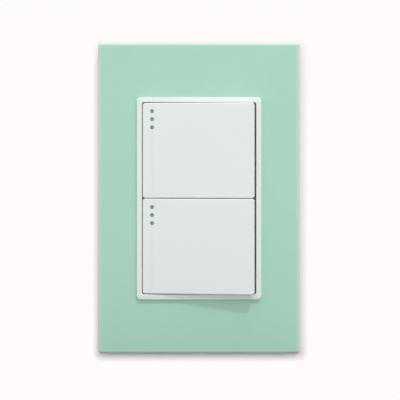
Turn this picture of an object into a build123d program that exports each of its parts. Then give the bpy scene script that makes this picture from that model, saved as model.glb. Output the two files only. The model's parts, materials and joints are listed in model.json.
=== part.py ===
"""Double light switch with wide rocker keys that press left and right, for a wall box."""

from build123d import *

import os
from math import cos, radians, sin

# The frame: +X right and +Z up as the switch is seen, +Y into the wall, the wall's face at Y = 0.
# "out" is how far something stands out from the wall, so a plane at out = 8 lies at Y = -8.
# "depth" is how far something lies behind the wall's face, so it is Y itself.

# Cover plate
plate_width = 78.0
plate_height = 120.0
plate_out = 8.0
plate_wall = 1.8
plate_corner = 1.3
plate_edge = 1.2
plate_rib = 1.2
end_rib_deep = 2.6
gusset_long = 1.5
gusset_pitch = 22.0
gusset_count = 5
notch_width = 10.0
notch_height = 1.6
hook_height = 8.0
hook_pitch = 60.0
hook_thick = 1.0
hook_leg = 1.4

# Bezel frame: a flange under the cover plate and a ring that stands through its window
bezel_width = 47.9
bezel_height = 77.8
bezel_ring = 2.0
bezel_proud = 1.2
bezel_corner = 1.6
bezel_slope = 1.5
bezel_drop = 0.16
bezel_crown = 0.22
window_gap = 0.05
flange_side = 4.2
flange_end = 2.2
flange_thick = 1.6
flange_corner = 3.0
flange_gap = 0.2
bezel_rib_deep = 1.0
rib_margin = 3.0
corner_rib_length = 12.0
corner_rib_end = 2.0

# Rocker keys
rocker_side_gap = 0.5
rocker_end_gap = 0.25
rocker_split = 0.2
rocker_proud = 2.85
rocker_wall = 1.6
rocker_depth = 5.9
rocker_draft = 1.0
rocker_edge = 0.45
rocker_corner = 1.0
rocker_rib = 1.0
rocker_rib_deep = 1.2
rest_tilt = 4.5
stop_inset = 2.4
stop_thick = 1.2
stop_touch = 0.2
clip_thick = 1.2
clip_height = 6.0
clip_hook = 0.8

# Green glow dots, and the fine groove below them
dot_radius = 0.7
dot_pitch = 3.1
dot_inset = 3.7
dot_top_inset = 3.2
dot_count = 3
dot_bar = 0.8
dot_bar_width = 2.2
groove_width = 0.3
groove_deep = 0.1

# Pressed steel mounting strap
strap_side = 2.85
strap_end = 5.0
strap_thick = 1.2
strap_corner = 3.0
strap_window_corner = 0.8
lip_out = 3.0
lip_length = 60.0
lip_relief = 2.0
box_pitch = 83.5
box_slot_length = 8.0
box_slot_play = 0.5
plate_screw_inset = 5.5
collar_deep = 0.9
collar_wall = 0.8
bead_place = 14.5
bead_length = 9.0
bead_width = 2.4
bead_high = 0.5

# Screws
box_screw_radius = 2.0
box_neck_radius = 1.85
box_neck_behind = 0.5
box_head_radius = 3.5
box_head_high = 2.3
box_head_edge = 0.8
box_screw_length = 20.0
box_screw_point = 0.6
plate_screw_radius = 1.6
plate_head_radius = 2.9
plate_head_high = 1.7
plate_head_edge = 0.6
plate_screw_length = 7.5
plate_screw_point = 0.4
boss_radius = 4.4
boss_floor = 2.4
head_play = 0.3
shank_play = 0.2
recess_width = 0.9
box_recess_length = 3.4
plate_recess_length = 2.9
recess_deep = 1.2
recess_taper = 8.0

# Switch module: lid with the bearing ears, and the deep body behind it
body_width = 36.0
body_height = 23.0
body_back = 22.0
body_wall = 1.5
body_corner = 1.2
body_edge = 0.6
body_floor = 1.6
guide_length = 6.0
platform_out = 2.2
platform_edge = 0.4
lid_flange = 2.3
lid_thick = 1.6
window_clearance = 0.3
ear_thick = 1.8
ear_radius = 2.2
ear_play = 0.4
ear_flare = 0.8
ear_root_out = 1.0
stem_swing = 1.2
stem_side = 0.5
tongue_width = 7.0
tongue_length = 8.0
tongue_thick = 1.1
tongue_rail = 1.2
tongue_window = 2.6
nub_high = 2.0
nub_gap = 0.2
panel_deep = 0.3
panel_margin = 4.0
gauge_length = 10.0
gauge_width = 1.2
gauge_deep = 0.4

# Actuator, plunger and spring
pivot_below_face = 4.35
trunnion_radius = 1.2
deck_length = 16.0
deck_height = 10.8
deck_thick = 1.35
web_thick = 1.4
web_inset = 1.0
stem_width = 4.8
stem_end = 5.0
bore_radius = 1.45
bore_length = 9.0
plunger_radius = 1.4
plunger_length = 7.2
plunger_gap = 0.2
spring_wire = 0.35
spring_turns = 4
spring_sides = 5
spring_radius = 1.1

# Contacts and terminals
arm_front = 9.0
arm_thick = 0.8
arm_room = 0.65
arm_height = 5.0
arm_corner = 1.0
arm_tilt = 6.0
arm_notch_width = 1.6
arm_notch_deep = 0.55
contact_radius = 1.5
contact_thick = 0.9
contact_edge = 0.3
contact_inset = 1.7
strip_thick = 0.8
strip_height = 6.4
strip_bend = 0.7
strip_overlap = 0.4
bridge_depth = 6.2
pocket_width = 5.2
partition_thick = 1.2
rest_post = 1.4
rest_margin = 1.0
hold_post_width = 1.6
hold_post_height = 5.0
fulcrum_place = -1.0
knife_root = 0.6
knife_tip = 0.15
horn_width = 0.8
horn_high = 0.7
horn_end = 0.4
leaf_thick = 0.35
leaf_low = -6.4
leaf_high = 4.8
leaf_bend = 0.45
leaf_width = 1.1
leaf_end_gap = 1.4
leaf_tip_gap = 0.35
leaf_tip_depth = 2.0
leaf_leg_end = 1.4
clamp_start = 2.0
wire_entry_radius = 1.25
wire_entry_funnel = 0.5
wire_height = -4.0
lever_width = 2.4
lever_height = 4.8
lever_place = 2.6
lever_shift = 0.3
lever_recess = 0.8
lever_wing = 0.6
lever_wing_thick = 0.9
lever_nose = 0.9
lever_gap = 0.3
blade_slot = 0.8
blade_margin = 0.7

# Clearances
running = 0.05
seat = 0.05
loose = 0.1
touch = 0.15
hook = 0.6

# Worked out from the sizes above
opening_width = bezel_width - 2 * bezel_ring
opening_height = bezel_height - 2 * bezel_ring
plate_inner = plate_out - plate_wall
flange_width = plate_width - 2 * (plate_wall + flange_side)
flange_height = plate_height - 2 * (plate_wall + flange_end)
flange_out = plate_inner - flange_gap
flange_back = flange_out - flange_thick
bezel_out = plate_out + bezel_proud
rocker_width = opening_width - 2 * rocker_side_gap
rocker_height = (opening_height - 2 * rocker_end_gap - rocker_split) / 2
rocker_pitch = rocker_height + rocker_split
rocker_out = plate_out + rocker_proud
rocker_under = rocker_out - rocker_wall
pivot_out = rocker_out - pivot_below_face
plate_screw_pitch = flange_height - 2 * plate_screw_inset
plate_screw_seat = strap_thick + boss_floor
strap_width = opening_width + 2 * strap_side
strap_height = plate_screw_pitch + 2 * strap_end
window_width = body_width + 2 * window_clearance
window_height = body_height + 2 * window_clearance
cavity_width = body_width - 2 * body_wall
cavity_height = body_height - 2 * body_wall
cavity_end = body_back - body_floor
guide_front = body_back - guide_length
partition_outer = cavity_width / 2 - pocket_width
partition_place = partition_outer - partition_thick
arm_pivot = arm_front + arm_thick + loose
wall_strip = cavity_width / 2 - seat - strip_thick / 2
leg_strip = partition_place - seat - strip_thick / 2
wire_place = wall_strip - strip_thick / 2 - wire_entry_radius
arm_length = 2 * (leg_strip - strip_thick / 2 - arm_room)
contact_place = arm_length / 2 - contact_inset
tilt = radians(rest_tilt)
swing = radians(arm_tilt)
pivot = Axis((0, -pivot_out, 0), (0, 0, 1))
arm_axis = Axis((0, arm_pivot, 0), (0, 0, 1))

os.makedirs("parts", exist_ok=True)


def room(out):
    """The sketch plane that faces the room, this far out from the wall."""
    return Plane.XZ.offset(out)


def behind(depth):
    """The sketch plane that faces the room, this far behind the wall's face."""
    return room(-depth)


def write(part, name):
    """Label one finished piece and write its file."""
    part.label = name
    export_step(part, f"parts/{name}.step")


def write_pair(part, name, pitch):
    """Write a piece that the switch has twice, one above and one below the centre."""
    write(part.moved(Location((0, 0, pitch / 2))), f"{name}_upper")
    write(part.moved(Location((0, 0, -pitch / 2))), f"{name}_lower")


def write_module(part, name):
    """Write a module's piece behind each rocker key."""
    write_pair(part, name, rocker_pitch)


# Cover plate: a shallow shell whose rim meets the wall, snapped over the bezel frame's flange
hook_place = flange_width / 2 + plate_rib / 2 + flange_gap
inner_width = plate_width - 2 * plate_wall
inner_height = plate_height - 2 * plate_wall

with BuildPart() as cover_plate:
    with BuildSketch(room(0)):
        RectangleRounded(plate_width, plate_height, plate_corner)
    extrude(amount=plate_out)
    fillet(cover_plate.faces().sort_by(Axis.Y)[0].edges(), plate_edge)
    with BuildSketch(room(0)):
        Rectangle(inner_width, inner_height)
    extrude(amount=plate_inner, mode=Mode.SUBTRACT)
    with BuildSketch(room(0)):
        RectangleRounded(bezel_width + 2 * window_gap, bezel_height + 2 * window_gap,
                         bezel_corner + window_gap)
    extrude(amount=plate_out, mode=Mode.SUBTRACT)
    # Snap hooks that reach past the flange, two on each side
    for side in (-1, 1):
        with BuildSketch(room(flange_back - hook_leg)):
            with Locations((side * hook_place, 0)):
                with GridLocations(0, hook_pitch, 1, 2):
                    Rectangle(plate_rib, hook_height)
        extrude(amount=plate_inner - flange_back + hook_leg)
        with BuildSketch(room(flange_back - seat - hook_thick)):
            with Locations((side * (hook_place - plate_rib / 2), 0)):
                with GridLocations(0, hook_pitch, 1, 2):
                    Rectangle(2 * hook, hook_height)
        extrude(amount=hook_thick)
    # Ribs across the ends, and gussets that stiffen the long sides
    with BuildSketch(room(plate_inner - end_rib_deep)):
        with GridLocations(0, flange_height + 2 * loose + plate_rib, 1, 2):
            Rectangle(flange_width, plate_rib)
        with GridLocations(inner_width - gusset_long, gusset_pitch, 2, gusset_count):
            Rectangle(gusset_long, plate_rib)
    extrude(amount=end_rib_deep)
    # Notch in the bottom rim for the blade that lifts the plate off
    with BuildSketch(Plane.XY.offset(-plate_height / 2)):
        with Locations((0, -notch_height / 2)):
            Rectangle(notch_width, notch_height)
    extrude(amount=plate_wall, mode=Mode.SUBTRACT)
write(cover_plate.part, "cover_plate")

# Bezel frame: flange, raised ring that slopes down outwards, and the two screw bosses
slope_foot = bezel_drop - bezel_out

with BuildPart() as bezel_frame:
    with BuildSketch(room(flange_back)):
        RectangleRounded(bezel_width, bezel_height, bezel_corner)
    extrude(amount=bezel_out - flange_back)
    with BuildSketch(room(0)):
        RectangleRounded(opening_width, opening_height, bezel_corner / 2)
    extrude(amount=bezel_out, mode=Mode.SUBTRACT)
    crown = bezel_frame.faces().sort_by(Axis.Y)[0]
    chamfer(crown.outer_wire().edges(), bezel_slope, bezel_drop, reference=crown)
    foot_edges = bezel_frame.edges().filter_by_position(Axis.Y, slope_foot - running,
                                                        slope_foot + running)
    fillet(foot_edges + bezel_frame.faces().sort_by(Axis.Y)[0].edges(), bezel_crown)
    with BuildSketch(room(flange_back)):
        RectangleRounded(flange_width, flange_height, flange_corner)
        RectangleRounded(bezel_width - bezel_ring, bezel_height - bezel_ring, bezel_corner / 2,
                         mode=Mode.SUBTRACT)
    extrude(amount=flange_thick)
    # Stiffening ribs behind the flange, along the opening and in the corners
    with BuildSketch(room(flange_back - bezel_rib_deep)):
        with GridLocations((bezel_width + flange_width) / 2, 0, 2, 1):
            Rectangle(plate_rib, bezel_height - 2 * rib_margin)
        with GridLocations(flange_width - 2 * rib_margin,
                           flange_height - corner_rib_length - 2 * corner_rib_end, 2, 2):
            Rectangle(plate_rib, corner_rib_length)
    extrude(amount=bezel_rib_deep)
    # Bosses that stand on the strap, each with a pocket for the screw's head
    with BuildSketch(room(strap_thick)):
        with GridLocations(0, plate_screw_pitch, 1, 2):
            Circle(boss_radius)
    extrude(amount=flange_out - strap_thick)
    with BuildSketch(room(plate_screw_seat)):
        with GridLocations(0, plate_screw_pitch, 1, 2):
            Circle(plate_head_radius + head_play)
    extrude(amount=flange_out, mode=Mode.SUBTRACT)
    with BuildSketch(room(0)):
        with GridLocations(0, plate_screw_pitch, 1, 2):
            Circle(plate_screw_radius + shank_play)
    extrude(amount=flange_out, mode=Mode.SUBTRACT)
write(bezel_frame.part, "bezel_frame")

# Mounting strap: one steel pressing with a window for each module and folded side lips
with BuildPart() as mounting_strap:
    with BuildSketch(room(0)):
        RectangleRounded(strap_width, strap_height, strap_corner)
    extrude(amount=strap_thick)
    with BuildSketch(room(strap_thick)):
        with GridLocations(strap_width - strap_thick, 0, 2, 1):
            Rectangle(strap_thick, lip_length)
    extrude(amount=lip_out - strap_thick)
    with BuildSketch(room(0)):
        with GridLocations(0, rocker_pitch, 1, 2):
            RectangleRounded(window_width, window_height, strap_window_corner)
        with GridLocations(0, box_pitch, 1, 2):
            SlotOverall(box_slot_length, 2 * box_screw_radius + box_slot_play)
        with GridLocations(0, plate_screw_pitch, 1, 2):
            Circle(plate_screw_radius + running)
    extrude(amount=strap_thick, mode=Mode.SUBTRACT)
    # Extruded collar behind each tapped hole
    with BuildSketch(behind(collar_deep)):
        with GridLocations(0, plate_screw_pitch, 1, 2):
            Circle(plate_screw_radius + collar_wall)
            Circle(plate_screw_radius + running, mode=Mode.SUBTRACT)
    extrude(amount=collar_deep)
    # Relief notches at the ends of the folded lips
    with BuildSketch(room(0)):
        with GridLocations(strap_width, lip_length + lip_relief, 2, 2):
            Rectangle(2 * lip_relief, lip_relief)
    extrude(amount=strap_thick, mode=Mode.SUBTRACT)
    # Stiffening beads beside the box screws, raised in front and hollow behind
    with BuildSketch(room(0)):
        with GridLocations(2 * bead_place, box_pitch, 2, 2):
            SlotOverall(bead_length, bead_width)
    extrude(amount=strap_thick + bead_high)
    with BuildSketch(room(0)):
        with GridLocations(2 * bead_place, box_pitch, 2, 2):
            SlotOverall(bead_length - bead_high, bead_width - bead_high)
    extrude(amount=bead_high, mode=Mode.SUBTRACT)
write(mounting_strap.part, "mounting_strap")

# Box screw: pan head on the strap, a plain neck through the slot, then the threaded length
with BuildPart() as box_screw:
    with BuildSketch(room(strap_thick)):
        Circle(box_head_radius)
    extrude(amount=box_head_high)
    chamfer(box_screw.faces().sort_by(Axis.Y)[0].edges(), box_head_edge)
    with BuildSketch(behind(box_neck_behind)):
        Circle(box_neck_radius)
    extrude(amount=box_neck_behind + strap_thick)
    with BuildSketch(behind(box_screw_length)):
        Circle(box_screw_radius)
    extrude(amount=box_screw_length - box_neck_behind)
    chamfer(box_screw.faces().sort_by(Axis.Y)[-1].edges(), box_screw_point)
    with BuildSketch(room(strap_thick + box_head_high - recess_deep)):
        Rectangle(box_recess_length, recess_width)
        Rectangle(recess_width, box_recess_length)
    extrude(amount=recess_deep, taper=-recess_taper, mode=Mode.SUBTRACT)
write_pair(box_screw.part, "box_screw", box_pitch)

# Plate screw: sunk in the bezel frame's boss, threaded into the strap
with BuildPart() as plate_screw:
    with BuildSketch(room(plate_screw_seat)):
        Circle(plate_head_radius)
    extrude(amount=plate_head_high)
    chamfer(plate_screw.faces().sort_by(Axis.Y)[0].edges(), plate_head_edge)
    with BuildSketch(room(plate_screw_seat - plate_screw_length)):
        Circle(plate_screw_radius)
    extrude(amount=plate_screw_length)
    chamfer(plate_screw.faces().sort_by(Axis.Y)[-1].edges(), plate_screw_point)
    with BuildSketch(room(plate_screw_seat + plate_head_high - recess_deep)):
        Rectangle(plate_recess_length, recess_width)
        Rectangle(recess_width, plate_recess_length)
    extrude(amount=recess_deep, taper=-recess_taper, mode=Mode.SUBTRACT)
write_pair(plate_screw.part, "plate_screw", plate_screw_pitch)

# Rocker key: a drafted shell with clips for the actuator, stops, dot holes and the fine groove
deck_under = rocker_under - deck_thick
clip_place = deck_length / 2 + seat + clip_thick / 2
clip_end = deck_under - seat - clip_hook
stop_place = body_width / 2 - stop_inset
stop_reach = (stop_place + stop_thick / 2) * sin(tilt)
stop_out = pivot_out - (pivot_out - platform_out - stop_touch - stop_reach) / cos(tilt)
ear_inner = deck_height / 2 + ear_play
ear_outer = ear_inner + ear_thick
rib_pitch = 2 * (ear_outer + rocker_rib)
dots_x = dot_inset - rocker_width / 2
dots_span = dot_pitch * (dot_count - 1)
dots_middle = rocker_height / 2 - dot_top_inset - dots_span / 2
groove_top = dots_middle - dots_span / 2 - dot_pitch / 2

with BuildPart() as rocker_key:
    with BuildSketch(room(rocker_out - rocker_depth)):
        RectangleRounded(rocker_width, rocker_height, rocker_corner)
    extrude(amount=rocker_depth)
    fillet(rocker_key.faces().sort_by(Axis.Y)[0].edges(), rocker_edge)
    with BuildSketch(room(rocker_under)):
        Rectangle(rocker_width - 2 * rocker_wall, rocker_height - 2 * rocker_wall)
    extrude(amount=-rocker_depth, taper=-rocker_draft, mode=Mode.SUBTRACT)
    # Stops that meet the module's lid when a side is pressed
    with BuildSketch(room(stop_out)):
        with GridLocations(2 * stop_place, 0, 2, 1):
            Rectangle(stop_thick, rib_pitch + rocker_rib)
    extrude(amount=rocker_under - stop_out)
    # Cross ribs between the stops and the clips
    with BuildSketch(room(rocker_under - rocker_rib_deep)):
        with GridLocations(0, rib_pitch, 1, 2):
            Rectangle(2 * stop_place, rocker_rib)
    extrude(amount=rocker_rib_deep)
    # Clips that grip the actuator's deck
    with BuildSketch(room(clip_end)):
        with GridLocations(2 * clip_place, 0, 2, 1):
            Rectangle(clip_thick, clip_height)
    extrude(amount=rocker_under - clip_end)
    with BuildSketch(room(clip_end)):
        with GridLocations(2 * clip_place - clip_thick, 0, 2, 1):
            Rectangle(2 * hook, clip_height)
    extrude(amount=clip_hook)
    # Holes for the glow dots
    with BuildSketch(room(rocker_under)):
        with Locations((dots_x, dots_middle)):
            with GridLocations(0, dot_pitch, 1, dot_count):
                Circle(dot_radius + seat)
    extrude(amount=rocker_wall, mode=Mode.SUBTRACT)
    # Groove from below the dots to the lower edge
    with BuildSketch(room(rocker_out - groove_deep)):
        with Locations((dots_x, (groove_top - rocker_height / 2) / 2)):
            Rectangle(groove_width, groove_top + rocker_height / 2)
    extrude(amount=groove_deep, mode=Mode.SUBTRACT)
write_module(rocker_key.part.rotate(pivot, -rest_tilt), "rocker_key")

# Glow insert: three round pips on a bar behind the rocker key's face
with BuildPart() as glow_insert:
    with BuildSketch(room(rocker_under - dot_bar)):
        with Locations((dots_x, dots_middle)):
            SlotOverall(dots_span + dot_bar_width, dot_bar_width, rotation=90)
    extrude(amount=dot_bar)
    with BuildSketch(room(rocker_under)):
        with Locations((dots_x, dots_middle)):
            with GridLocations(0, dot_pitch, 1, dot_count):
                Circle(dot_radius)
    extrude(amount=rocker_wall)
write_module(glow_insert.part.rotate(pivot, -rest_tilt), "glow_insert")

# Actuator: deck under the key, trunnions on the tilt axis, hollow stem for spring and plunger
with BuildPart() as actuator:
    with BuildSketch(room(deck_under)):
        Rectangle(deck_length, deck_height)
    extrude(amount=deck_thick)
    with BuildSketch(Plane.XY.offset(-deck_height / 2)):
        with Locations((0, -pivot_out)):
            Circle(stem_width / 2)
    extrude(amount=deck_height)
    with BuildSketch(Plane.XY.offset(-ear_outer)):
        with Locations((0, -pivot_out)):
            Circle(trunnion_radius)
    extrude(amount=2 * ear_outer)
    with BuildSketch(behind(stem_end)):
        Rectangle(stem_width, stem_width)
    extrude(amount=stem_end + deck_under)
    # Webs from the hub to the deck's ends
    with BuildSketch(Plane.XY.offset(-web_thick / 2)):
        with BuildLine():
            Polyline((web_inset - deck_length / 2, -deck_under),
                     (deck_length / 2 - web_inset, -deck_under),
                     (stem_width / 2, -pivot_out), (-stem_width / 2, -pivot_out), close=True)
        make_face()
    extrude(amount=web_thick)
    with BuildSketch(behind(stem_end)):
        Circle(bore_radius)
    extrude(amount=bore_length, mode=Mode.SUBTRACT)
write_module(actuator.part.rotate(pivot, -rest_tilt), "actuator")

# Plunger: a pin with a round nose, pushed by its spring against the contact arm
plunger_tip = arm_front - plunger_gap
plunger_rear = plunger_tip - plunger_length
plunger_shoulder = plunger_tip - plunger_radius

with BuildPart() as plunger:
    with BuildSketch(Plane.XY):
        with BuildLine():
            Polyline((0, plunger_tip), (0, plunger_rear), (plunger_radius, plunger_rear),
                     (plunger_radius, plunger_shoulder))
            RadiusArc((plunger_radius, plunger_shoulder), (0, plunger_tip), -plunger_radius)
        make_face()
    revolve(axis=Axis.Y)
write_module(plunger.part.rotate(pivot, -rest_tilt), "plunger")

# Plunger spring: a helix between the end of the stem's bore and the plunger
spring_start = stem_end - bore_length + seat + spring_wire / 2
spring_length = plunger_rear - seat - spring_wire / 2 - spring_start

with BuildPart() as plunger_spring:
    with BuildLine() as coil:
        Helix(pitch=spring_length / spring_turns, height=spring_length, radius=spring_radius,
              center=(0, spring_start, 0), direction=(0, 1, 0))
    with BuildSketch(coil.line ^ 0):
        RegularPolygon(spring_wire / 2, spring_sides)
    sweep(is_frenet=True)
write_module(plunger_spring.part.rotate(pivot, -rest_tilt), "plunger_spring")

# Module lid: flange behind the strap, platform through its window, bearing ears for the trunnions
hold_post_end = bridge_depth - strip_thick / 2 - seat

with BuildPart() as module_cover:
    with BuildSketch(behind(lid_thick)):
        RectangleRounded(body_width + 2 * lid_flange, body_height, body_corner)
        with GridLocations(0, body_height + tongue_thick, 1, 2):
            Rectangle(tongue_width, tongue_thick)
    extrude(amount=lid_thick)
    with BuildSketch(room(0)):
        RectangleRounded(body_width, body_height, body_corner)
    extrude(amount=platform_out)
    chamfer(module_cover.faces().sort_by(Axis.Y)[0].edges(), platform_edge)
    # Bearing ears
    with BuildSketch(Plane.XY.offset(-ear_outer)):
        with Locations((0, -pivot_out)):
            Circle(ear_radius)
        with BuildLine():
            Polyline((-ear_radius, -pivot_out), (ear_radius, -pivot_out),
                     (ear_radius + ear_flare, -ear_root_out),
                     (-ear_radius - ear_flare, -ear_root_out), close=True)
        make_face()
    extrude(amount=2 * ear_outer)
    with BuildSketch(room(platform_out)):
        Rectangle(deck_length, 2 * ear_inner)
    extrude(amount=pivot_out + ear_radius, mode=Mode.SUBTRACT)
    with BuildSketch(Plane.XY.offset(-ear_outer)):
        with Locations((0, -pivot_out)):
            Circle(trunnion_radius + running)
    extrude(amount=2 * ear_outer, mode=Mode.SUBTRACT)
    # Opening in which the stem swings
    with BuildSketch(behind(lid_thick)):
        Rectangle(stem_width + 2 * stem_swing, stem_width + 2 * stem_side)
    extrude(amount=lid_thick + platform_out, mode=Mode.SUBTRACT)
    # Snap hooks over the strap's window edges
    with BuildSketch(room(strap_thick + seat)):
        with GridLocations(body_width, 0, 2, 1):
            Rectangle(2 * (window_clearance + hook), tongue_width)
    extrude(amount=platform_out - strap_thick - seat - loose)
    # Tongues that hold the module's body, each with a window
    with BuildSketch(behind(tongue_length)):
        with GridLocations(0, body_height + tongue_thick + 2 * seat, 1, 2):
            Rectangle(tongue_width, tongue_thick - 2 * seat)
    extrude(amount=tongue_length - lid_thick)
    with BuildSketch(behind(tongue_length - tongue_rail)):
        with GridLocations(0, body_height + tongue_thick, 1, 2):
            Rectangle(tongue_width - 2 * tongue_rail, 2 * tongue_thick)
    extrude(amount=tongue_window, mode=Mode.SUBTRACT)
    # Posts that hold the terminals down on their partitions
    with BuildSketch(behind(hold_post_end)):
        with GridLocations(partition_outer + wall_strip, 0, 2, 1):
            Rectangle(hold_post_width, hold_post_height)
    extrude(amount=hold_post_end - lid_thick)
write_module(module_cover.part, "module_cover")

# Module body: deep box, open to the front, with partitions, posts and the wire guides
rest_strip = arm_pivot + arm_length / 2 * sin(swing) - loose * cos(swing) + touch
closed_face = arm_pivot + (contact_thick - loose) * cos(swing) + contact_place * sin(swing) + touch
tongue_strip = closed_face + contact_thick
guide_width = cavity_width / 2 - partition_place
rest_height = strip_height + 2 * rest_margin
nub_thick = tongue_thick - 2 * nub_gap
lever_x = wire_place - lever_shift

with BuildPart() as module_body:
    with BuildSketch(behind(body_back)):
        RectangleRounded(body_width, body_height, body_corner)
    extrude(amount=body_back - lid_thick)
    chamfer(module_body.faces().sort_by(Axis.Y)[-1].edges(), body_edge)
    with BuildSketch(behind(cavity_end)):
        Rectangle(cavity_width, cavity_height)
    extrude(amount=cavity_end, mode=Mode.SUBTRACT)
    # Partitions beside the contact chamber, and the thick wire guides outside them
    with BuildSketch(behind(cavity_end)):
        with GridLocations(2 * partition_place + partition_thick, 0, 2, 1):
            Rectangle(partition_thick, cavity_height)
    extrude(amount=cavity_end - bridge_depth - strip_bend)
    with BuildSketch(behind(cavity_end)):
        with GridLocations(2 * partition_place + guide_width, 0, 2, 1):
            Rectangle(guide_width, cavity_height)
    extrude(amount=cavity_end - guide_front)
    # Posts under the terminals' inner ends
    with BuildSketch(behind(cavity_end)):
        with Locations((partition_place / 2, 0), (0, 0)):
            Rectangle(rest_post, rest_height)
    extrude(amount=cavity_end - rest_strip - strip_thick)
    with BuildSketch(behind(cavity_end)):
        with Locations((-contact_place, 0)):
            Rectangle(rest_post, rest_height)
    extrude(amount=cavity_end - tongue_strip - strip_thick)
    # Wire entries with funnel mouths, and the release levers' slots
    with BuildSketch(behind(body_back)):
        with GridLocations(2 * wire_place, 0, 2, 1):
            with Locations((0, wire_height)):
                Circle(wire_entry_radius)
        with GridLocations(2 * lever_x, 0, 2, 1):
            with Locations((0, lever_place)):
                Rectangle(lever_width + 2 * loose, lever_height + 2 * loose)
    extrude(amount=guide_length, mode=Mode.SUBTRACT)
    with BuildSketch(behind(body_back)):
        with GridLocations(2 * wire_place, 0, 2, 1):
            with Locations((0, wire_height)):
                Circle(wire_entry_radius + wire_entry_funnel)
    extrude(amount=wire_entry_funnel, taper=45, mode=Mode.SUBTRACT)
    # Shallow panels in the short sides, and the gauge groove for stripping a wire
    for side in (-1, 1):
        with BuildSketch(Plane.YZ.offset(side * body_width / 2)):
            with Locations(((body_back + tongue_length) / 2, 0)):
                Rectangle(body_back - tongue_length - panel_margin, body_height - 2 * panel_margin)
        extrude(amount=-side * panel_deep, mode=Mode.SUBTRACT)
    with BuildSketch(behind(body_back)):
        with Locations((0, gauge_width - body_height / 2 + body_wall)):
            Rectangle(gauge_length, gauge_width)
    extrude(amount=gauge_deep, mode=Mode.SUBTRACT)
    # Nubs that catch the windows of the lid's tongues
    with BuildSketch(behind(tongue_length - tongue_rail - nub_gap)):
        with GridLocations(0, body_height + nub_thick, 1, 2):
            Rectangle(tongue_width - 2 * (tongue_rail + nub_gap), nub_thick)
    extrude(amount=nub_high)
write_module(module_body.part, "module_body")

# Contact arm: a copper see-saw with notches at the fulcrum, and its domed contact
with BuildPart() as contact_arm:
    with BuildSketch(behind(arm_front + arm_thick)):
        RectangleRounded(arm_length, arm_height, arm_corner)
        with GridLocations(0, arm_height, 1, 2):
            Rectangle(arm_notch_width, 2 * arm_notch_deep, mode=Mode.SUBTRACT)
    extrude(amount=arm_thick)
write_module(contact_arm.part.rotate(arm_axis, arm_tilt), "contact_arm")

with BuildPart() as moving_contact:
    with BuildSketch(behind(arm_front + arm_thick)):
        with Locations((-contact_place, 0)):
            Circle(contact_radius)
    extrude(amount=-contact_thick)
    chamfer(moving_contact.faces().sort_by(Axis.Y)[-1].edges(), contact_edge)
write_module(moving_contact.part.rotate(arm_axis, arm_tilt), "moving_contact")

with BuildPart() as fixed_contact:
    with BuildSketch(behind(tongue_strip)):
        with Locations((-contact_place, 0)):
            Circle(contact_radius)
    extrude(amount=contact_thick)
    chamfer(fixed_contact.faces().sort_by(Axis.Y)[0].edges(), contact_edge)
write_module(fixed_contact.part, "fixed_contact")

# Common terminal: brass strip from the wire guide over the partition to the fulcrum
strip_end = guide_front - seat
clamp_front = bridge_depth + clamp_start
common_middle = rest_strip + strip_thick / 2
line_middle = tongue_strip + strip_thick / 2
horn_pitch = arm_height - 2 * arm_notch_deep + 2 * loose + horn_high

with BuildPart() as common_terminal:
    with BuildLine() as common_path:
        FilletPolyline((wall_strip, strip_end), (wall_strip, bridge_depth),
                       (leg_strip, bridge_depth), (leg_strip, common_middle),
                       (fulcrum_place, common_middle), radius=strip_bend)
    with BuildSketch(Plane.XY.offset(-strip_height / 2)):
        trace(common_path.line, strip_thick)
    extrude(amount=strip_height)
    # Broad clamp area beside the wire
    with BuildSketch(Plane.XY.offset(leaf_low)):
        with Locations((wall_strip, (strip_end + clamp_front) / 2)):
            Rectangle(strip_thick, strip_end - clamp_front)
    extrude(amount=leaf_high - leaf_low)
    # Knife edge that carries the arm, with a horn in each of its notches
    with BuildSketch(Plane.XY.offset(-strip_height / 2)):
        with BuildLine():
            Polyline((-knife_root, rest_strip), (knife_root, rest_strip),
                     (knife_tip, arm_pivot), (-knife_tip, arm_pivot), close=True)
        make_face()
    extrude(amount=strip_height)
    with BuildSketch(behind(rest_strip)):
        with GridLocations(0, horn_pitch, 1, 2):
            Rectangle(horn_width, horn_high)
    extrude(amount=rest_strip - arm_front + horn_end)
write_module(common_terminal.part, "common_terminal")

# Line terminal: the same strip on the other side, ending under the moving contact
with BuildPart() as line_terminal:
    with BuildLine() as line_path:
        FilletPolyline((-wall_strip, strip_end), (-wall_strip, bridge_depth),
                       (-leg_strip, bridge_depth), (-leg_strip, line_middle),
                       (contact_radius + strip_overlap - contact_place, line_middle),
                       radius=strip_bend)
    with BuildSketch(Plane.XY.offset(-strip_height / 2)):
        trace(line_path.line, strip_thick)
    extrude(amount=strip_height)
    with BuildSketch(Plane.XY.offset(leaf_low)):
        with Locations((-wall_strip, (strip_end + clamp_front) / 2)):
            Rectangle(strip_thick, strip_end - clamp_front)
    extrude(amount=leaf_high - leaf_low)
write_module(line_terminal.part, "line_terminal")

# Lock spring: a bent leaf whose tip presses the wire against the terminal
leaf_back = partition_outer + seat + leaf_thick / 2
leaf_root = guide_front - leaf_end_gap
leaf_turn = leaf_back + leaf_width
leaf_tip_x = wall_strip - strip_thick / 2 - leaf_tip_gap
leaf_tip_y = bridge_depth + strip_thick / 2 + leaf_tip_depth

with BuildPart() as lock_spring:
    with BuildLine() as leaf_path:
        FilletPolyline((leaf_back, bridge_depth + strip_thick / 2 + leaf_leg_end),
                       (leaf_back, leaf_root), (leaf_turn, leaf_root),
                       (leaf_tip_x, leaf_tip_y), radius=leaf_bend)
    with BuildSketch(Plane.XY.offset(leaf_low)):
        trace(leaf_path.line, leaf_thick)
    extrude(amount=leaf_high - leaf_low)
write_module(lock_spring.part, "lock_spring_common")
write_module(lock_spring.part.mirror(Plane.YZ), "lock_spring_line")

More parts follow.
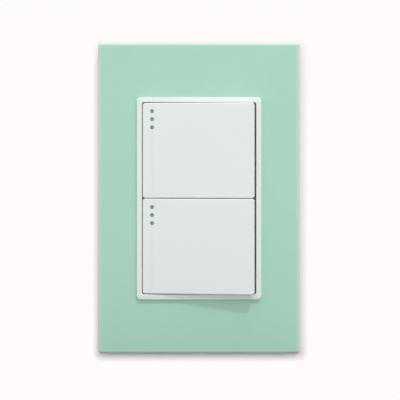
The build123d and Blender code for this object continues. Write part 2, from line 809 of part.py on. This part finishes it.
# Release lever: a slider that pushes the leaf off the wire, with a slot for the blade
lever_end = body_back - lever_recess
lever_inner = lever_x - lever_width / 2
lever_outer = lever_x + lever_width / 2
lever_tip = lever_outer - lever_nose
lever_bottom = lever_place - lever_height / 2
leaf_slope = (leaf_root - leaf_tip_y) / (leaf_tip_x - leaf_turn)
leaf_offset = (leaf_thick / 2 + lever_gap) * (1 + leaf_slope ** 2) ** 0.5


def behind_leaf(x):
    """Depth at which the lever's nose stays just behind the slanted leaf."""
    return leaf_root - leaf_slope * (x - leaf_turn) + leaf_offset


with BuildPart() as release_lever:
    with BuildSketch(Plane.XY.offset(lever_bottom)):
        with BuildLine():
            Polyline((lever_inner, lever_end), (lever_inner, behind_leaf(lever_inner)),
                     (lever_tip, behind_leaf(lever_tip)), (lever_outer, behind_leaf(lever_tip)),
                     (lever_outer, lever_end), close=True)
        make_face()
    extrude(amount=lever_height)
    with BuildSketch(Plane.XY.offset(lever_bottom - lever_wing)):
        with Locations((lever_x, guide_front - touch - lever_wing_thick / 2)):
            Rectangle(lever_width, lever_wing_thick)
    extrude(amount=lever_height + 2 * lever_wing)
    with BuildSketch(behind(lever_end)):
        with Locations((lever_x, lever_place)):
            Rectangle(blade_slot, lever_height - 2 * blade_margin)
    extrude(amount=blade_slot, mode=Mode.SUBTRACT)
write_module(release_lever.part, "release_lever_common")
write_module(release_lever.part.mirror(Plane.YZ), "release_lever_line")
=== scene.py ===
import json
import math

import bmesh
import bpy
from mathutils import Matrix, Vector


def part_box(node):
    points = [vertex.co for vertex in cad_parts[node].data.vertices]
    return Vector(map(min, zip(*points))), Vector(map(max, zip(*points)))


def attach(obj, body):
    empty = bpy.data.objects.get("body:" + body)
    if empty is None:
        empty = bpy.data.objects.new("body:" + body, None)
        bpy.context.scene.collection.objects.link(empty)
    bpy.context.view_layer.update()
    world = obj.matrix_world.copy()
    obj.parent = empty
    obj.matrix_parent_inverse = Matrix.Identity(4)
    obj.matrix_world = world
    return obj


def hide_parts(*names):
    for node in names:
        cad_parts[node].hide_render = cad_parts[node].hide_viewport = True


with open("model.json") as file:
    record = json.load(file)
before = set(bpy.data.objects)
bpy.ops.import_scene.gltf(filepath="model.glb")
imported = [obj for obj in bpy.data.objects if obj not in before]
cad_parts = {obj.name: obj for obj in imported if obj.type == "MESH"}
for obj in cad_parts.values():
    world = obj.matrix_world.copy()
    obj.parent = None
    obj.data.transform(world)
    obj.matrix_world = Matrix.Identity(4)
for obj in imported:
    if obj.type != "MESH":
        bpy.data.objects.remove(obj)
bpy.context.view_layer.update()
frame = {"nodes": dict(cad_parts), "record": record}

# Lengths are in metres, written as millimetres times MM. +Y goes into the wall.
MM = 0.001
NODES = frame["nodes"]
BODY_OF = {node: body for body, members in frame["record"]["behaviour"]["bodies"].items()
           for node in members}
SLOT_OF = {row["node"]: row["material_slot"] for row in frame["record"]["subparts"]}
MODULES = ("upper", "lower")

# How far the plate reaches from the centre to the front, the side and the end, as the part has it,
# and the radius of its outline's corners
PLATE_LOW, PLATE_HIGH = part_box("cover_plate")
PLATE_FACE = -PLATE_LOW.y
PLATE_SIDE = PLATE_HIGH.x
PLATE_END = PLATE_HIGH.z
PLATE_CORNER = 1.3 * MM


def level_of(node):
    """How high the middle of a node lies above the plate's middle."""
    low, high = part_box(node)
    return (low.z + high.z) / 2


# Shader maths

class Value:
    """A number socket of a shader tree, which Python's operators join with Math nodes."""

    def __init__(self, shading, socket):
        self.shading = shading
        self.socket = socket

    def math(self, operation, *terms):
        made = self.shading.node("Math", {"operation": operation}, dict(enumerate(terms)))
        return Value(self.shading, made.outputs[0])

    def __add__(self, other):
        return self.math("ADD", self, other)

    def __radd__(self, other):
        return self.math("ADD", other, self)

    def __sub__(self, other):
        return self.math("SUBTRACT", self, other)

    def __rsub__(self, other):
        return self.math("SUBTRACT", other, self)

    def __mul__(self, other):
        return self.math("MULTIPLY", self, other)

    def __rmul__(self, other):
        return self.math("MULTIPLY", other, self)

    def __pow__(self, other):
        return self.math("POWER", self, other)

    def __rpow__(self, other):
        return self.math("POWER", other, self)

    def __mod__(self, other):
        return self.math("FLOORED_MODULO", self, other)

    def __rmod__(self, other):
        return self.math("FLOORED_MODULO", other, self)

    def __abs__(self):
        return self.math("ABSOLUTE", self)

    def above(self, other):
        """The larger of the two."""
        return self.math("MAXIMUM", self, other)

    def over(self, low, high, shape="SMOOTHSTEP"):
        """0 up to low, 1 from high on, and a ramp between."""
        made = self.shading.node("MapRange", {"interpolation_type": shape}, {0: self, 1: low, 2: high})
        return Value(self.shading, made.outputs[0])


class Nodes:
    """A node tree, and the maker of its nodes, which are all of one family."""

    family = ""

    def __init__(self, tree):
        self.tree = tree

    def feed(self, socket, value):
        """Link a socket or a Value to a socket, or set it to a constant."""
        if isinstance(value, Value):
            value = value.socket
        if isinstance(value, bpy.types.NodeSocket):
            self.tree.links.new(value, socket)
        else:
            socket.default_value = value

    def node(self, kind, settings=(), sockets=()):
        """A node with its settings and what its sockets are fed."""
        made = self.tree.nodes.new(self.family + kind)
        for key, value in dict(settings).items():
            setattr(made, key, value)
        for key, value in dict(sockets).items():
            self.feed(made.inputs[key], value)
        return made


class Shading(Nodes):
    """The shader tree of a material or a world."""

    family = "ShaderNode"

    def __init__(self, owner):
        owner.use_nodes = True
        super().__init__(owner.node_tree)

    def mix(self, factor, first, second):
        """A colour between two colours."""
        made = self.node("Mix", {"data_type": "RGBA"}, {0: factor, 6: first, 7: second})
        return made.outputs[2]

    def shown(self):
        """1 to the camera and in mirrored and clear surfaces, 0 to the light that falls round."""
        rays = self.node("LightPath").outputs
        direct = Value(self, rays["Is Camera Ray"])
        return direct.above(rays["Is Glossy Ray"]).above(rays["Is Transmission Ray"])


class Finish(Shading):
    """One material, whose colour, roughness and relief vary over the object's own places."""

    def __init__(self, name, colour, roughness, metallic=0.0, level=0.5):
        self.material = bpy.data.materials.new(name)
        super().__init__(self.material)
        self.shader = self.tree.nodes["Principled BSDF"]
        self.colour = tuple(colour)
        self.feed(self.shader.inputs["Base Color"], self.colour + (1.0,))
        self.feed(self.shader.inputs["Roughness"], roughness)
        self.feed(self.shader.inputs["Metallic"], metallic)
        self.feed(self.shader.inputs["Specular IOR Level"], level)
        self.place = self.node("TexCoord").outputs["Object"]
        self.normal = None

    def noise(self, size, detail=2.0, rough=0.5, stretch=(1, 1, 1)):
        """Noise from 0 to 1 whose grain is about size metres."""
        spread = self.node("Mapping", {}, {"Vector": self.place, "Scale": stretch})
        made = self.node("TexNoise", {}, {"Vector": spread.outputs[0], "Scale": 1 / size,
                                          "Detail": detail, "Roughness": rough})
        return Value(self, made.outputs[0])

    def cells(self, size):
        """Cells about size metres wide, each of its own brightness."""
        made = self.node("TexVoronoi", {}, {"Vector": self.place, "Scale": 1 / size})
        return Value(self, made.outputs["Color"])

    def axis(self, name):
        """The X, Y or Z coordinate in metres."""
        return Value(self, self.node("SeparateXYZ", {}, {0: self.place}).outputs[name])

    def shade(self, factor, amount):
        """Vary the base colour by plus and minus amount as the factor goes from 0 to 1."""
        low = tuple(c * (1 - amount) for c in self.colour) + (1.0,)
        high = tuple(min(1.0, c * (1 + amount)) for c in self.colour) + (1.0,)
        self.feed(self.shader.inputs["Base Color"], self.mix(factor, low, high))

    def tint(self, factor, colour):
        """Mix another colour over the base colour as it is varied so far."""
        base = self.shader.inputs["Base Color"]
        self.feed(base, self.mix(factor, base.links[0].from_socket, colour))

    def roughen(self, value):
        """Let the roughness vary; above 0.28 everywhere, where the render has no specks."""
        self.feed(self.shader.inputs["Roughness"], value)

    def emboss(self, value, depth):
        """Raise the surface by value times depth metres, in shading alone."""
        sockets = {"Height": value, "Distance": depth}
        if self.normal is not None:
            sockets["Normal"] = self.normal
        self.normal = self.node("Bump", {}, sockets).outputs[0]
        self.feed(self.shader.inputs["Normal"], self.normal)


# Finishes

# How soft a pin mark's edge is, and over what depth the marks set in
PIN_EDGE = 0.08 * MM
PIN_FADE = 0.1 * MM


def pin_marks(finish, pitch, radius, behind):
    """Round ejector pin marks on a grid, as 1 inside and 0 outside, only deeper than behind."""
    across = abs(finish.axis("X") % pitch - pitch / 2)
    along = abs(finish.axis("Z") % pitch - pitch / 2)
    distance = (across * across + along * along) ** 0.5
    hidden = finish.axis("Y").over(behind, behind + PIN_FADE)
    return (1 - distance.over(radius, radius + PIN_EDGE)) * hidden


# The plate's front rim has a painted highlight, a paler colour that stands in for the sheen on its
# rounded
# edge: its width, the depths behind the face over which it fades, how far it turns to that colour, and
# that colour
RIM_WIDTH = 2.0 * MM
RIM_START = 1.5 * MM
RIM_END = 3.0 * MM
RIM_SHARE = 0.55
RIM_PAINTED_HIGHLIGHT = (0.74, 0.75, 0.74, 1.0)


def mint_plastic():
    """Satin green, with a painted highlight, paler round the plate's rim, that stands in for the sheen
    on its rounded edge.
    """
    made = Finish("mint_plastic", (0.396, 0.674, 0.541), 0.42, level=0.45)
    cloud = made.noise(26 * MM, 3.0, 0.6)
    speck = made.noise(2.2 * MM, 2.0)
    made.shade(cloud * 0.75 + speck * 0.25, 0.05)
    # Painted highlight: the base colour turns paler near the plate's outline on its front, in place of
    # edge sheen
    across = abs(made.axis("X")) - PLATE_SIDE
    along = abs(made.axis("Z")) - PLATE_END
    front = 1 - made.axis("Y").over(RIM_START - PLATE_FACE, RIM_END - PLATE_FACE)
    rim = across.above(along).over(-RIM_WIDTH, 0.0) * front
    made.tint(rim * RIM_SHARE, RIM_PAINTED_HIGHLIGHT)
    made.roughen(0.36 + 0.12 * made.noise(8 * MM))
    made.emboss(made.noise(0.35 * MM, 3.0, 0.6), 0.01 * MM)
    made.emboss(made.noise(14 * MM, 1.0), 0.05 * MM)
    made.emboss(pin_marks(made, 22 * MM, 1.6 * MM, -PLATE_FACE + 1 * MM), -0.08 * MM)
    return made.material


def white_plastic():
    """Smooth white, a little glossy, with faint waves from the mould."""
    made = Finish("white_plastic", (0.786, 0.838, 0.836), 0.34)
    made.shade(made.noise(18 * MM, 2.0), 0.012)
    made.roughen(0.31 + 0.06 * made.noise(5 * MM))
    made.emboss(made.noise(0.5 * MM, 2.0), 0.003 * MM)
    made.emboss(made.noise(16 * MM, 1.0), 0.03 * MM)
    made.emboss(pin_marks(made, 11 * MM, 1.0 * MM, -5 * MM), -0.06 * MM)
    return made.material


def glow_green():
    """The dots in the keys: a grainy pigment in clear plastic."""
    made = Finish("glow_green", (0.16, 0.295, 0.205), 0.45, level=0.4)
    made.shade(made.noise(0.25 * MM, 3.0), 0.18)
    made.roughen(0.35 + 0.2 * made.noise(0.4 * MM))
    made.emboss(made.noise(0.2 * MM, 2.0), 0.004 * MM)
    return made.material


def moulded(name, colour, roughness, grain):
    """A plain moulded plastic whose fine grain is grain metres deep."""
    made = Finish(name, colour, roughness, level=0.45)
    flow = made.noise(7 * MM, 3.0, 0.55, stretch=(1, 0.4, 1))
    made.shade(flow * 0.7 + made.noise(0.6 * MM) * 0.3, 0.09)
    made.roughen(roughness - 0.07 + 0.14 * made.noise(3 * MM))
    made.emboss(made.noise(0.3 * MM, 3.0, 0.65), grain)
    made.emboss(pin_marks(made, 7.5 * MM, 0.8 * MM, 0.5 * MM), -4 * grain)
    return made.material


def plated(name, colour, roughness, spangle):
    """Zinc-plated steel: crystals of slightly different brightness, and rolling lines."""
    made = Finish(name, colour, roughness, metallic=1.0)
    crystal = made.cells(spangle)
    lines = made.noise(0.4 * MM, 3.0, 0.6, stretch=(1, 1, 0.05))
    made.shade(crystal * 0.5 + lines * 0.5, 0.12)
    made.roughen(roughness - 0.08 + 0.12 * crystal + 0.06 * lines)
    made.emboss(lines, 0.004 * MM)
    return made.material


def metal(name, colour, roughness):
    """A stamped or drawn metal with faint tarnish and draw lines."""
    made = Finish(name, colour, roughness, metallic=1.0)
    tarnish = made.noise(3 * MM, 4.0, 0.6)
    lines = made.noise(0.15 * MM, 2.0, 0.5, stretch=(0.1, 1, 1))
    made.shade(tarnish * 0.7 + lines * 0.3, 0.16)
    made.roughen(roughness - 0.05 + 0.14 * tarnish)
    made.emboss(lines, 0.003 * MM)
    return made.material


FINISHES = {
    "mint_plastic": mint_plastic(),
    "white_plastic": white_plastic(),
    "glow_green": glow_green(),
    "module_plastic": moulded("module_plastic", (0.075, 0.078, 0.082), 0.5, 0.012 * MM),
    "inner_plastic": moulded("inner_plastic", (0.68, 0.66, 0.58), 0.42, 0.008 * MM),
    "lever_plastic": moulded("lever_plastic", (0.70, 0.70, 0.67), 0.4, 0.006 * MM),
    "zinc_steel": plated("zinc_steel", (0.52, 0.535, 0.55), 0.40, 3.2 * MM),
    "screw_steel": plated("screw_steel", (0.55, 0.54, 0.51), 0.38, 1.2 * MM),
    "brass": metal("brass", (0.80, 0.60, 0.27), 0.34),
    "copper": metal("copper", (0.80, 0.42, 0.26), 0.35),
    "silver": metal("silver", (0.84, 0.83, 0.80), 0.34),
    "spring_steel": metal("spring_steel", (0.56, 0.56, 0.54), 0.34),
}


# Pieces made from the part's nodes

# Points closer than this are joined, and faces flatter than this become one face
WELD = 0.002 * MM
FLAT = math.radians(0.6)
# Edges sharper than this are rounded in so many steps, and large faces then lead the shading
SHARP = math.radians(35)
ROUNDING_STEPS = 2
FACE_LEAD = 80
# Between a screw's full shank and its thinner, threaded length
SHOULDER = 0.2 * MM
# Each screw: where its thinner length starts behind the wall's face and what share of the shank's
# radius that keeps, then where its thread starts and ends, its crest's radius and its pitch
SCREWS = {
    "box_screw": {"behind": 0.5 * MM, "root": 0.84, "start": 1.2 * MM, "end": 19.2 * MM,
                  "crest": 1.70 * MM, "pitch": 0.7 * MM},
    "plate_screw": {"behind": 1.0 * MM, "root": 0.86, "start": 1.4 * MM, "end": 3.4 * MM,
                    "crest": 1.37 * MM, "pitch": 0.5 * MM},
}
# How far each kind of piece has its edges rounded. The plungers are named in full, because their
# springs stay the part's own.
ROUNDING = {
    "cover_plate": 0.04 * MM, "bezel_frame": 0.06 * MM, "rocker_key": 0.10 * MM,
    "mounting_strap": 0.15 * MM, "module_body": 0.12 * MM, "module_cover": 0.12 * MM,
    "glow_insert": 0.08 * MM, "box_screw": 0.08 * MM, "plate_screw": 0.08 * MM,
    "actuator": 0.10 * MM, "plunger_upper": 0.06 * MM, "plunger_lower": 0.06 * MM,
    "contact_arm": 0.06 * MM, "moving_contact": 0.05 * MM, "fixed_contact": 0.05 * MM,
    "common_terminal": 0.06 * MM, "line_terminal": 0.06 * MM, "release_lever": 0.08 * MM,
}


def settle(piece):
    """Turn a piece with live modifiers into its own plain mesh."""
    graph = bpy.context.evaluated_depsgraph_get()
    made = bpy.data.meshes.new_from_object(piece.evaluated_get(graph))
    piece.modifiers.clear()
    piece.data = made


def merged(node):
    """A copy of a node's mesh with its triangles joined and its flat faces whole."""
    mesh = NODES[node].data.copy()
    work = bmesh.new()
    work.from_mesh(mesh)
    bmesh.ops.remove_doubles(work, verts=work.verts, dist=WELD)
    bmesh.ops.dissolve_limit(work, angle_limit=FLAT, verts=work.verts, edges=work.edges)
    work.to_mesh(mesh)
    work.free()
    mesh.materials.clear()
    mesh.materials.append(FINISHES[SLOT_OF[node]])
    return mesh


def turned_down(mesh, height, behind, root):
    """Thin a screw's shank about the line at this height, from a shoulder at behind on."""
    work = bmesh.new()
    work.from_mesh(mesh)
    for depth in (behind, behind + SHOULDER):
        bmesh.ops.bisect_plane(work, geom=[*work.verts, *work.edges, *work.faces],
                               plane_co=(0, depth, 0), plane_no=(0, 1, 0))
    for point in work.verts:
        if point.co.y > behind + SHOULDER / 2:
            point.co.x *= root
            point.co.z = height + (point.co.z - height) * root
    work.to_mesh(mesh)
    work.free()


def refined(node, rounding):
    """The node again with softly rounded edges and even shading; it takes the node's place."""
    mesh = merged(node)
    for kind, screw in SCREWS.items():
        if node.startswith(kind):
            turned_down(mesh, level_of(node), screw["behind"], screw["root"])
    piece = bpy.data.objects.new(node + "_refined", mesh)
    bpy.context.scene.collection.objects.link(piece)
    bevel = piece.modifiers.new("rounding", "BEVEL")
    bevel.width = rounding
    bevel.segments = ROUNDING_STEPS
    bevel.limit_method = "ANGLE"
    bevel.angle_limit = SHARP
    for face in piece.data.polygons:
        face.use_smooth = True
    even = piece.modifiers.new("even_shading", "WEIGHTED_NORMAL")
    even.weight = FACE_LEAD
    even.keep_sharp = True
    settle(piece)
    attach(piece, BODY_OF[node])
    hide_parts(node)


# Every node gets its finish; the springs, which change shape, stay as they are
for name, thing in NODES.items():
    thing.data.materials.clear()
    thing.data.materials.append(FINISHES[SLOT_OF[name]])

for name in NODES:
    for kind, rounding in ROUNDING.items():
        if name.startswith(kind):
            refined(name, rounding)


# Pieces grown with Geometry Nodes

class Growth(Nodes):
    """A Geometry Nodes tree with named number inputs."""

    family = "GeometryNode"

    def __init__(self, name):
        super().__init__(bpy.data.node_groups.new(name, "GeometryNodeTree"))
        self.name = name
        self.face = self.tree.interface
        self.face.new_socket("Geometry", in_out="INPUT", socket_type="NodeSocketGeometry")
        self.face.new_socket("Geometry", in_out="OUTPUT", socket_type="NodeSocketGeometry")
        self.entry = self.tree.nodes.new("NodeGroupInput")
        self.exit = self.tree.nodes.new("NodeGroupOutput")
        self.values = {}

    def number(self, name, value):
        """A named input with its value, as an output of the entry node."""
        kind = "NodeSocketInt" if isinstance(value, int) else "NodeSocketFloat"
        made = self.face.new_socket(name, in_out="INPUT", socket_type=kind)
        self.values[made.identifier] = value
        return self.entry.outputs[name]

    def geometry(self, kind, sockets):
        """The geometry that a node of this kind gives when its sockets are fed."""
        return self.node(kind, {}, sockets).outputs[0]

    def piece(self, geometry, body, slot):
        """Close the tree on its geometry and keep its result as one plain mesh that rides."""
        real = self.geometry("RealizeInstances", {0: geometry})
        dressed = self.geometry("SetMaterial", {"Geometry": real, "Material": FINISHES[slot]})
        self.feed(self.exit.inputs[0], dressed)
        made = bpy.data.objects.new(self.name, bpy.data.meshes.new(self.name))
        bpy.context.scene.collection.objects.link(made)
        live = made.modifiers.new(self.name, "NODES")
        live.node_group = self.tree
        for key, value in self.values.items():
            live[key] = value
        settle(made)
        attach(made, body)


# Segments in one turn of a thread, and how wide its four-sided ridge is against its pitch
THREAD_STEPS = 28
RIDGE_SIDES = 4
RIDGE_SHARE = 0.42


def screw_thread(name, height, start, end, crest, pitch):
    """A rolled thread round the shank at this height, from start to end behind the wall's face."""
    grown = Growth(name)
    turns = grown.number("Turns", (end - start) / pitch)
    radius = grown.number("Crest radius", crest)
    half = grown.number("Half pitch", pitch * RIDGE_SHARE)
    spiral = grown.geometry("CurveSpiral", {
        "Resolution": THREAD_STEPS, "Rotations": turns, "Start Radius": radius,
        "End Radius": radius, "Height": end - start})
    ridge = grown.geometry("CurvePrimitiveCircle", {"Resolution": RIDGE_SIDES, "Radius": half})
    swept = grown.geometry("CurveToMesh", {"Curve": spiral, "Profile Curve": ridge,
                                           "Fill Caps": True})
    placed = grown.geometry("Transform", {"Geometry": swept, "Rotation": (math.radians(-90), 0, 0),
                                          "Translation": (0, start, height)})
    grown.piece(placed, "base", "screw_steel")


RIB_COUNT = 6
RIB_PITCH = 1.5 * MM
RIB_RADIUS = 0.28 * MM
RIB_LENGTH = 13 * MM
RIB_SIDES = 12
# The panels in a body's short sides: how far they are sunk, and how far their middles lie behind
# the wall's face
PANEL_SUNK = 0.3 * MM
PANEL_MIDDLE = 15 * MM


def grip_ribs(name, body):
    """Half-round ribs in the short side panels of one module's body."""
    grown = Growth(name)
    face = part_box(body)[1].x - PANEL_SUNK
    count = grown.number("Ribs", RIB_COUNT)
    radius = grown.number("Rib radius", RIB_RADIUS)
    half = RIB_LENGTH / 2
    line = grown.geometry("CurvePrimitiveLine", {"Start": (0, 0, -half), "End": (0, 0, half)})
    profile = grown.geometry("CurvePrimitiveCircle", {"Resolution": RIB_SIDES, "Radius": radius})
    rib = grown.geometry("CurveToMesh", {"Curve": line, "Profile Curve": profile,
                                         "Fill Caps": True})
    joined = grown.node("JoinGeometry")
    first = PANEL_MIDDLE - RIB_PITCH * (RIB_COUNT - 1) / 2
    for side in (-1, 1):
        spots = grown.geometry("MeshLine", {
            "Count": count, "Start Location": (side * face, first, level_of(body)),
            "Offset": (0, RIB_PITCH, 0)})
        row = grown.geometry("InstanceOnPoints", {"Points": spots, "Instance": rib})
        grown.feed(joined.inputs[0], row)
    grown.piece(joined.outputs[0], "base", "module_plastic")


for module in MODULES:
    for kind, screw in SCREWS.items():
        screw_thread(kind + "_thread_" + module, level_of(kind + "_" + module), screw["start"],
                     screw["end"], screw["crest"], screw["pitch"])
    grip_ribs("grip_ribs_" + module, "module_body_" + module)


# Stage: a wall that can be seen from the room's side only, and a dark cloth that isn't seen

BACKDROP = (1.0, 0.965, 0.973, 1.0)
# The wall's own shade fades out from a rectangle, nearly the plate's, a little to the right and low
SHADE_SIDE = PLATE_SIDE - 0.1 * MM
SHADE_TALL = PLATE_END + 0.15 * MM
SHADE_RIGHT = 0.5 * MM
SHADE_LOW = 0.95 * MM
SHADE_START = 0.2 * MM
SHADE_END = 3.6 * MM


def wall_finish():
    """White wall, pale and even where it is seen except close round the plate."""
    made = Finish("wall_finish", (0.94, 0.82, 0.84), 0.9, level=0.0)
    made.shade(made.noise(30 * MM), 0.004)
    across = (abs(made.axis("X") - SHADE_RIGHT) - SHADE_SIDE).above(0.0)
    along = (abs(made.axis("Z") + SHADE_LOW) - SHADE_TALL).above(0.0)
    distance = (across * across + along * along) ** 0.5
    even = made.node("Emission", {}, {"Color": BACKDROP})
    far = distance.over(SHADE_START, SHADE_END, "LINEAR") * made.shown()
    face = made.node("MixShader", {}, {0: far, 1: made.shader.outputs[0], 2: even.outputs[0]})
    behind = made.node("NewGeometry").outputs["Backfacing"]
    clear = made.node("BsdfTransparent").outputs[0]
    sided = made.node("MixShader", {}, {0: behind, 1: face.outputs[0], 2: clear})
    made.feed(made.tree.nodes["Material Output"].inputs["Surface"], sided.outputs[0])
    return made.material


def ledge_finish():
    """Dark cloth that keeps light off the plate's lower end and is itself unseen."""
    made = Finish("ledge_finish", (0.04, 0.04, 0.04), 0.85, level=0.1)
    made.shade(made.noise(60 * MM), 0.05)
    clear = made.node("BsdfTransparent").outputs[0]
    face = made.node("MixShader", {}, {0: made.shown(), 1: made.shader.outputs[0], 2: clear})
    made.feed(made.tree.nodes["Material Output"].inputs["Surface"], face.outputs[0])
    return made.material


def sheet(name, corners, faces, material):
    """A flat mesh that belongs to the stage and not to the object."""
    mesh = bpy.data.meshes.new(name)
    mesh.from_pydata(corners, [], faces)
    mesh.materials.append(material)
    made = bpy.data.objects.new(name, mesh)
    bpy.context.scene.collection.objects.link(made)


# Half the wall's width and height, how far it reaches under the plate's rim, and the steps of
# each corner of its opening
WALL_REACH = 1.6
LAP = 0.03 * MM
CORNER_STEPS = 8


def wall():
    """The wall, open behind the plate as it is where a wall box sits, up to the plate's outline."""
    signs = [(-1, -1), (1, -1), (1, 1), (-1, 1)]
    radius = PLATE_CORNER - LAP
    points = [(side * WALL_REACH, 0, end * WALL_REACH) for side, end in signs]
    faces = []
    for turn, (side, end) in enumerate(signs):
        first = len(points)
        last = first + CORNER_STEPS
        for step in range(CORNER_STEPS + 1):
            angle = math.pi / 2 * (2 + turn + step / CORNER_STEPS)
            points.append((side * (PLATE_SIDE - PLATE_CORNER) + radius * math.cos(angle), 0,
                           end * (PLATE_END - PLATE_CORNER) + radius * math.sin(angle)))
        faces += [(turn, point + 1, point) for point in range(first, last)]
        after = (turn + 1) % len(signs)
        faces.append((turn, after, len(signs) + after * (CORNER_STEPS + 1), last))
    sheet("wall", points, faces, wall_finish())


LEDGE_SIDE = 0.2
LEDGE_DEEP = 60 * MM
LEDGE_LEVEL = -85 * MM


def ledge():
    """The cloth, level and against the wall below the plate."""
    points = [(-LEDGE_SIDE, -LEDGE_DEEP, LEDGE_LEVEL), (LEDGE_SIDE, -LEDGE_DEEP, LEDGE_LEVEL),
              (LEDGE_SIDE, 0, LEDGE_LEVEL), (-LEDGE_SIDE, 0, LEDGE_LEVEL)]
    sheet("ledge", points, [(0, 1, 2, 3)], ledge_finish())


wall()
ledge()


# Light and camera

# The key lamp stands in front of the switch, above it and to its right; its power is in watts
KEY_WAY = Vector((0.50, -1.0, 1.75))
KEY_AWAY = 1.5
KEY_WIDTH = 0.08
KEY_POWER = 7.4
# How bright the surround is straight above and straight below
ABOVE = 1.20
BELOW = 0.44


def key_lamp():
    """A small round lamp that is turned to the plate's middle."""
    light = bpy.data.lights.new("key", "AREA")
    light.shape = "DISK"
    light.size = KEY_WIDTH
    light.energy = KEY_POWER
    made = bpy.data.objects.new("key", light)
    made.location = KEY_WAY.normalized() * KEY_AWAY
    made.rotation_euler = (-made.location).to_track_quat("-Z", "Y").to_euler()
    bpy.context.scene.collection.objects.link(made)


def studio():
    """White light, brighter from above than from below; where it is seen it is the backdrop."""
    world = bpy.data.worlds.new("studio")
    made = Shading(world)
    way = made.node("TexCoord").outputs["Generated"]
    height = made.node("SeparateXYZ", {}, {0: way}).outputs["Z"]
    level = made.node("MapRange", {}, {"Value": height, "From Min": -1.0, "To Min": BELOW,
                                       "To Max": ABOVE})
    seen = made.shown()
    strength = made.node("Mix", {}, {0: seen, 2: level.outputs[0], 3: 1.0})
    surround = made.tree.nodes["Background"].inputs
    made.feed(surround["Strength"], strength.outputs[0])
    made.feed(surround["Color"], made.mix(seen, (1.0, 1.0, 1.0, 1.0), BACKDROP))
    bpy.context.scene.world = world


# How wide the picture is at the plate's face, where the camera stands, and by how many of the
# photo's pixels its aim is shifted
FRAME_WIDTH = 154.05 * MM
CAMERA_AWAY = 340 * MM
CAMERA_UP = 12 * MM
IMAGE_SIDE = 400
AIM_RIGHT = 0.95
AIM_DOWN = 1.75


def front_camera():
    """The camera, square to the wall and a little above the plate's middle."""
    camera = bpy.data.cameras.new("camera")
    camera.sensor_width = 36.0
    camera.lens = camera.sensor_width * CAMERA_AWAY / FRAME_WIDTH
    camera.shift_x = AIM_RIGHT / IMAGE_SIDE
    camera.shift_y = -CAMERA_UP / FRAME_WIDTH - AIM_DOWN / IMAGE_SIDE
    made = bpy.data.objects.new("camera", camera)
    made.location = (0, -PLATE_FACE - CAMERA_AWAY, CAMERA_UP)
    made.rotation_euler = (math.radians(90), 0, 0)
    bpy.context.scene.collection.objects.link(made)
    bpy.context.scene.camera = made


key_lamp()
studio()
front_camera()
bpy.context.scene.view_settings.view_transform = "Standard"
